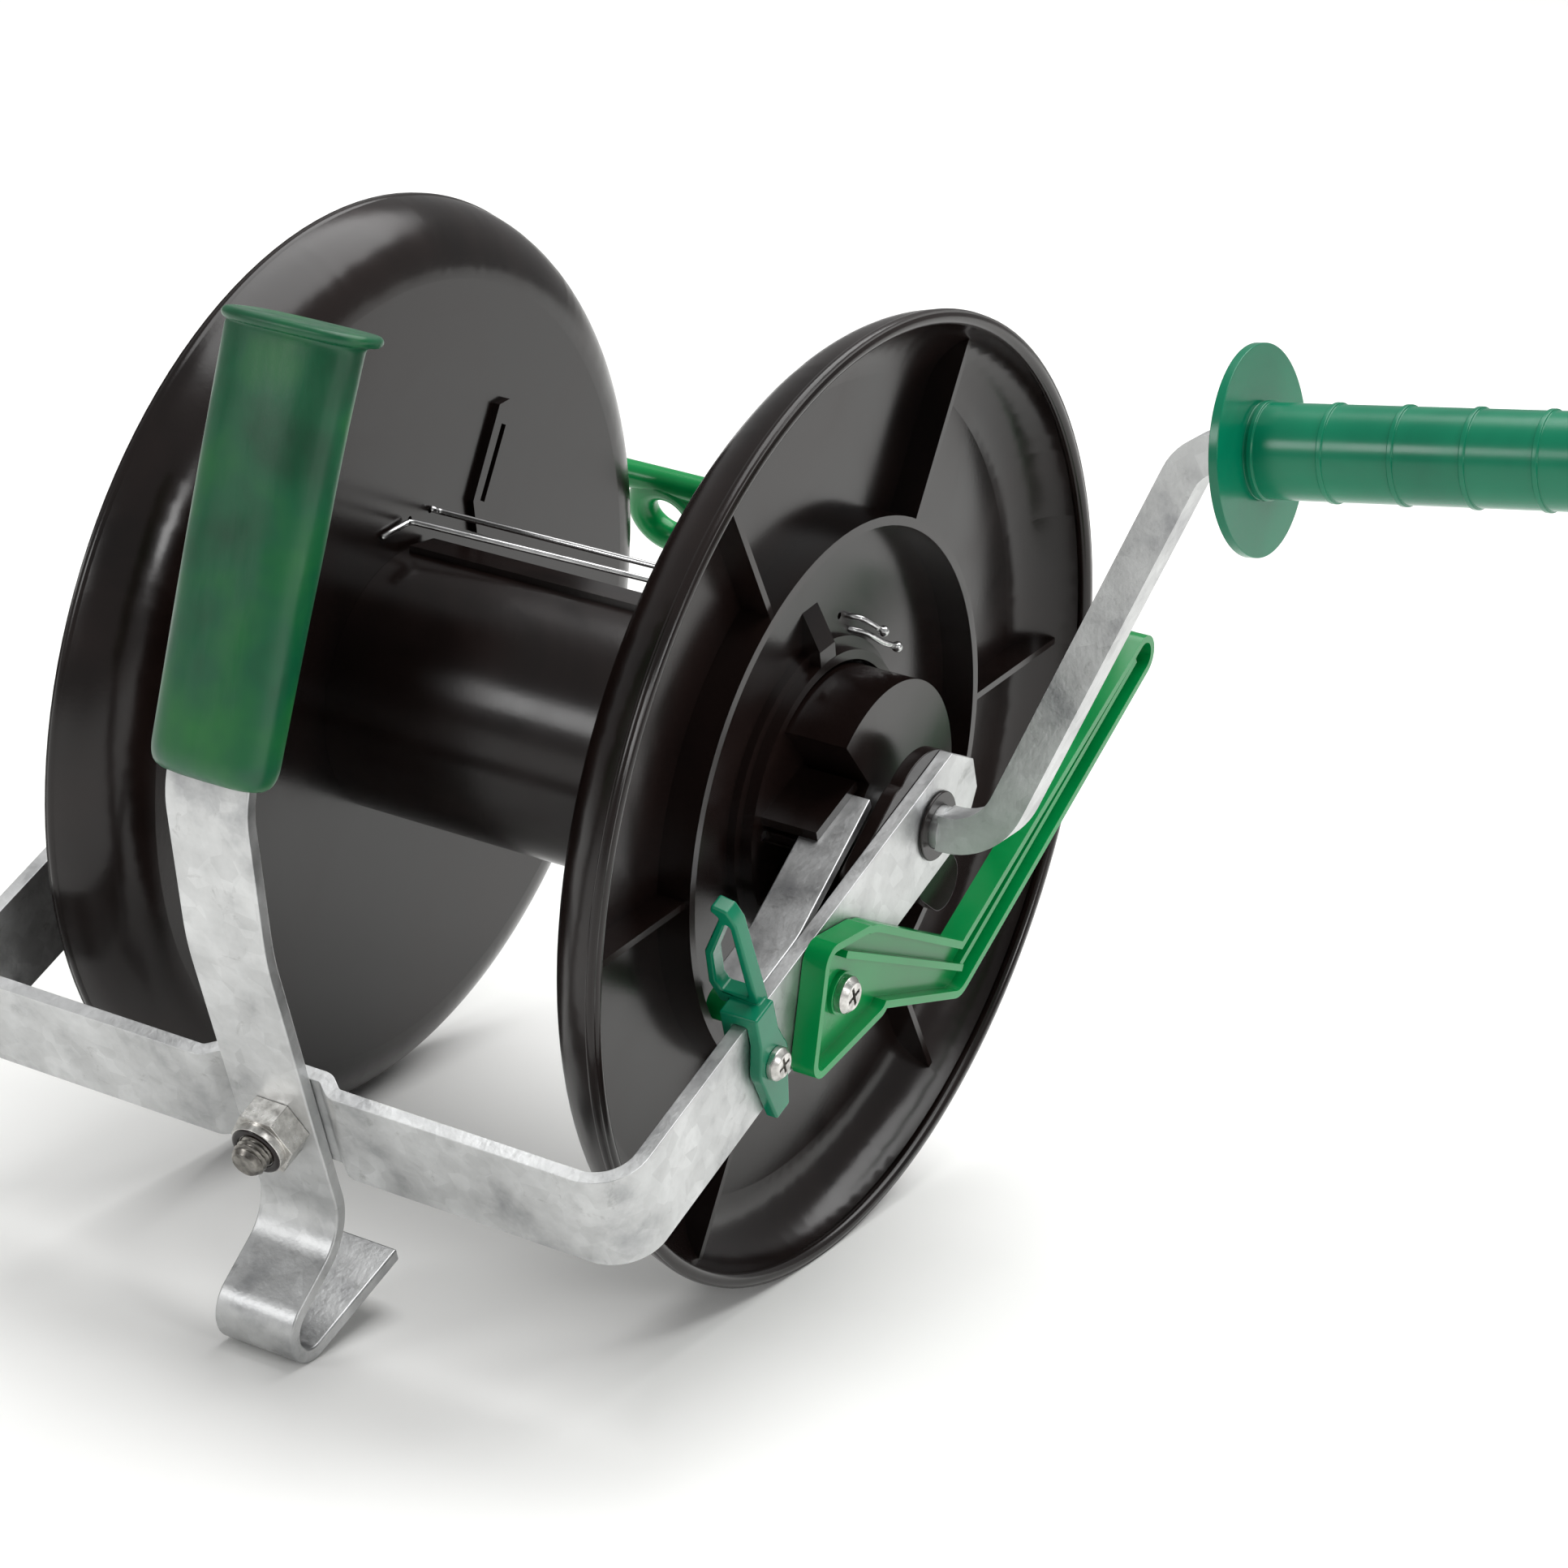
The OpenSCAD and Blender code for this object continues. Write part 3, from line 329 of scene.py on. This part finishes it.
def makeHandGrip():
    g = handGrip
    bow = math.radians(g["bow"])
    down = Vector((0, -math.sin(bow), -math.cos(bow)))   # along the handle, in the frame's directions
    out = Vector((0, math.cos(bow), -math.sin(bow)))     # towards the drum
    rings = []
    places = [g["rim"] * t for t in g["rimPlaces"]]
    below = g["rim"] * 1.2                               # where the plain sleeve begins
    places += [below + (g["length"] - below) * i / g["rings"] for i in range(1, g["rings"] + 1)]
    for fromTop in places:
        u = fromTop / g["length"]
        along, fromEnd = fromTop - g["over"], g["length"] - fromTop
        belly = math.sin(math.pi * u)
        wide = g["halfWide"] + g["flare"] * (1 - u) ** 2
        deep = g["halfDeep"] + g["swell"] * belly
        slide = g["askew"] * (1 - u)                     # the sleeve sits a little askew on its bar
        if fromTop < g["rim"] * 1.03:                    # thin rounded rim round the top, wider on one side
            bulge = math.sqrt(max(0, 1 - (2 * fromTop / g["rim"] - 1) ** 2))
            wide += g["rimWide"][0] + g["rimWide"][1] * bulge
            deep += g["rimDeep"][0] + g["rimDeep"][1] * bulge
            slide += g["rimShift"]
        if fromEnd < g["endRound"]:                      # closed end, rounded off
            shrink = 1 - math.sqrt(max(0, 1 - (1 - fromEnd / g["endRound"]) ** 2))
            wide -= g["endNarrow"] * shrink
            deep -= g["endThin"] * shrink
        lift = g["lift"] * belly                         # the sleeve bows slightly away from the drum
        centre = Vector((slide, g["topAlong"], g["topAcross"])) + down * along - out * lift * 0.4
        ring = []
        for a, b in gripSection(wide, deep, g["roundness"], g["points"]):
            wave = noise.noise(Vector((a * g["waveAcross"], b * g["waveAcross"],
                                       along * g["waveAlong"]))) * g["waveSize"]
            p = centre + Vector((1, 0, 0)) * (a * (1 + wave * 0.02)) + out * (b + wave * 0.4)
            ring.append(leaned(p.x, p.y, p.z))
        rings.append(ring)
    verts, faces = bridgeRings(rings)
    grip = buildMesh("handGripSleeve", verts, faces, "green_vinyl", "frame", "hand_grip")
    smooth = grip.modifiers.new("smooth", "SUBSURF")
    smooth.levels = smooth.render_levels = 1
    return grip


makeHandGrip()

handleBolt = {  # mm
    "radius": 5, "pitch": 1.5, "depth": 0.85, "length": 16, "shank": 8, "plain": 3, "point": 1.6,
    "headAcross": 17, "headHigh": 6.4, "x": 1, "across": -2, "nutHigh": 8, "collarHigh": 2.5,
    "insertRadius": 6.3, "insertTube": 1.1, "around": 40, "perTurn": 8, "headAround": 36,
    "insertPoints": 10,
}


def makeHandleBolt():
    # M10 bolt: hexagon head on the drum side, rolled thread on the near end
    b = handleBolt
    start = -(reel["reach"] - reel["barThick"] / 2) + reel["barThick"] * 1.5 + 0.05
    count = b["around"]
    total = b["shank"] + b["length"]
    steps = int(total / b["pitch"] * b["perTurn"])
    rings = []
    for i in range(steps + 1):
        along = total * i / steps
        ring = []
        for j in range(count):
            a = 2 * math.pi * j / count
            phase = (along / b["pitch"] - j / count) % 1
            groove = abs(phase - 0.5) * 2
            radius = b["radius"] - b["depth"] * (1 - groove) if along > b["plain"] else b["radius"]
            fromEnd = total - along
            if fromEnd < b["point"]:
                radius = min(radius, b["radius"] - (b["point"] - fromEnd) * 0.8)
            ring.append(leaned(b["x"] + radius * math.cos(a), start - along,
                               b["across"] + radius * math.sin(a)))
        rings.append(ring)
    verts, faces = bridgeRings(rings)
    head = []
    for along, scale in ((0.02, 0.97), (0.0, 1.0), (-b["headHigh"] + 0.9, 1.0), (-b["headHigh"], 0.93)):
        ring = []
        for j in range(b["headAround"]):
            a = 2 * math.pi * j / b["headAround"]
            flat = b["headAcross"] / 2 / math.cos((a % (math.pi / 3)) - math.pi / 6)
            ring.append(leaned(b["x"] + flat * scale * math.cos(a), start - along,
                               b["across"] + flat * scale * math.sin(a)))
        head.append(ring)
    appendShape(verts, faces, bridgeRings(head))
    bolt = buildMesh("handleBoltThreaded", verts, faces, "zinc_hardware", "frame", "handle_bolt")
    # the whole bolt takes the darker grey thread colour
    bolt.data.materials[0] = finishes["dark_thread_steel"]
    edge = bolt.modifiers.new("split", "EDGE_SPLIT")
    edge.split_angle = math.radians(40)
    return bolt


def makeNutInsert():
    # nylon locking ring, seen in the open end of the handle's nut
    b = handleBolt
    front = -reel["reach"] - b["nutHigh"] - b["collarHigh"]
    rings = []
    for i in range(b["around"] + 1):
        a = 2 * math.pi * i / b["around"]
        ring = []
        for j in range(b["insertPoints"]):
            c = 2 * math.pi * j / b["insertPoints"]
            radius = b["insertRadius"] + b["insertTube"] * math.cos(c)
            ring.append(leaned(b["x"] + radius * math.cos(a), front + 0.6 * b["insertTube"] * math.sin(c),
                               b["across"] + radius * math.sin(a)))
        rings.append(ring)
    verts, faces = bridgeRings(rings, False, False)
    return buildMesh("nutInsertRing", verts, faces, "black_plastic", "frame")


makeHandleBolt()
makeNutInsert()

tieWires = {  # mm: x, along, across at each bend
    "thick": 1.8, "ball": 1.6, "bend": 2.2, "ballSteps": 9,
    "paths": [
        [(-64.6, 26.6, 41.9), (-64.4, 29.3, 39.1), (68.9, 32.0, 37.2), (72.0, 33.2, 36.1), (73.2, 35.8, 32.4),
         (74.4, 37.6, 29.6)],
        [(-64.6, 3.4, 48.9), (-64.4, 16.1, 45.3), (68.9, 31.2, 33.0), (72.0, 34.5, 29.9), (73.2, 39.6, 22.8),
         (74.0, 43.9, 18.4)],
    ],
}


def tubeAlong(points, radii, count=14):
    # rings round a path of points in metres
    rings = []
    for i, p in enumerate(points):
        ahead = (points[min(i + 1, len(points) - 1)] - points[max(i - 1, 0)]).normalized()
        side = ahead.cross(Vector((0.3, 0.9, 0.3))).normalized()
        lift = ahead.cross(side)
        rings.append([p + (side * math.cos(a) + lift * math.sin(a)) * radii[i]
                      for a in (2 * math.pi * j / count for j in range(count))])
    return rings


def softened(corners, reachMm):
    # swaps each corner for a short round bend
    path = [corners[0]]
    for before, corner, after in zip(corners, corners[1:], corners[2:]):
        inward, outward = (before - corner), (after - corner)
        trim = min(reachMm * mm, inward.length * 0.45, outward.length * 0.45)
        start, end = corner + inward.normalized() * trim, corner + outward.normalized() * trim
        path += [start.lerp(corner, t).lerp(corner.lerp(end, t), t) for t in (0, 0.2, 0.4, 0.6, 0.8, 1)]
    return path + [corners[-1]]


def makeTieWires():
    verts, faces = [], []
    for corners in tieWires["paths"]:
        path = softened([leaned(*c) for c in corners], tieWires["bend"])
        radii = [tieWires["thick"] / 2 * mm] * len(path)
        ahead = (path[-1] - path[-2]).normalized()
        ball = tieWires["ball"] * mm
        for k in range(1, tieWires["ballSteps"] + 1):    # wire end, upset to a small ball
            a = math.pi * k / tieWires["ballSteps"]
            path.append(leaned(*corners[-1]) + ahead * ball * (1 - math.cos(a)))
            radii.append(max(ball * math.sin(a), 0.05 * mm))
        appendShape(verts, faces, bridgeRings(tubeAlong(path, radii)))
    return buildMesh("tieWiresBent", verts, faces, "steel_wire", "drum", "tie_wires")


makeTieWires()

rimBead = {"ringRadius": 134.6, "beadRadius": 2.1, "place": 84.7, "around": 360, "points": 28}  # mm


def makeRimBead(name, side):
    # smooth rolled bead over a flange's lip
    b = rimBead
    rings = []
    for i in range(b["around"]):
        a = 2 * math.pi * i / b["around"]
        ring = []
        for j in range(b["points"]):
            c = 2 * math.pi * j / b["points"]
            radius = b["ringRadius"] + b["beadRadius"] * math.cos(c)
            ring.append(leaned(side * b["place"] + b["beadRadius"] * math.sin(c),
                               radius * math.cos(a), radius * math.sin(a)))
        rings.append(ring)
    rings.append(rings[0])
    verts, faces = bridgeRings(rings, False, False)
    bead = buildMesh(name, verts, faces, "black_plastic", "drum")
    join = bead.modifiers.new("join", "WELD")
    join.merge_threshold = cadFinish["mergeWithin"] * mm
    return bead


makeRimBead("rimBeadLeft", -1)
makeRimBead("rimBeadRight", 1)
print("grip, bolt, wires and rim beads built")

stage = {"floorZ": -0.1366, "floorHalf": 30, "floor": "#f2f2f0", "floorRough": 0.9,
         "world": "#ffffff", "worldStrength": 0.35}  # metres


def makeStage():
    mesh = bpy.data.meshes.new("floor")
    half, z = stage["floorHalf"], stage["floorZ"]
    mesh.from_pydata([(-half, -half, z), (half, -half, z), (half, half, z), (-half, half, z)],
                     [], [(0, 1, 2, 3)])
    floor = bpy.data.objects.new("floor", mesh)
    bpy.context.scene.collection.objects.link(floor)
    # matt white paint: no shine of its own, so the reel's soft shadow stays even
    material, _, shader, _ = newMaterial("floorPaintMatt")
    shader.inputs["Base Color"].default_value = fromHex(stage["floor"])
    shader.inputs["Roughness"].default_value = stage["floorRough"]
    floor.data.materials.append(material)
    world = bpy.data.worlds.new("studio")
    bpy.context.scene.world = world
    world.use_nodes = True
    background = world.node_tree.nodes["Background"]
    background.inputs["Color"].default_value = fromHex(stage["world"])
    background.inputs["Strength"].default_value = stage["worldStrength"]


softLights = {
    "over": {"place": (0.3, 0.9, 2.6), "size": 3.6, "watts": 130},
    "key": {"place": (-1.0, -1.9, 0.9), "size": 0.7, "watts": 9},
    "side": {"place": (1.9, -0.5, 0.7), "size": 0.5, "watts": 7},
}


def makeLights():
    for name, l in softLights.items():
        data = bpy.data.lights.new(name, "AREA")
        data.shape = "DISK"
        data.size = l["size"]
        data.energy = l["watts"]
        light = bpy.data.objects.new(name, data)
        light.location = l["place"]
        light.rotation_mode = "QUATERNION"
        light.rotation_quaternion = (-Vector(l["place"])).to_track_quat("-Z", "Y")
        bpy.context.scene.collection.objects.link(light)


view = {"azimuth": 28.248, "elevation": 20.002, "roll": 5.264, "distance": 1221.27,
        "right": 53.57, "up": -10.18, "lens": 99.82, "sensor": 36}  # degrees and mm


def makeCamera():
    a, e, r = (math.radians(view[k]) for k in ("azimuth", "elevation", "roll"))
    back = Vector((math.sin(a) * math.cos(e), -math.cos(a) * math.cos(e), math.sin(e)))
    right = Vector((math.cos(a), math.sin(a), 0))
    up = back.cross(right)
    place = (back * view["distance"] + right * view["right"] + up * view["up"]) * mm
    tiltedRight = right * math.cos(r) + up * math.sin(r)
    tiltedUp = up * math.cos(r) - right * math.sin(r)
    data = bpy.data.cameras.new("camera")
    data.lens = view["lens"]
    data.sensor_width = view["sensor"]
    data.clip_start = 0.05
    data.clip_end = 200
    camera = bpy.data.objects.new("camera", data)
    rotation = Matrix((tiltedRight, tiltedUp, back)).transposed()
    camera.matrix_world = Matrix.Translation(place) @ rotation.to_4x4()
    bpy.context.scene.collection.objects.link(camera)
    bpy.context.scene.camera = camera


makeStage()
makeLights()
makeCamera()
bpy.context.scene.view_settings.view_transform = "Standard"
print("stage set")
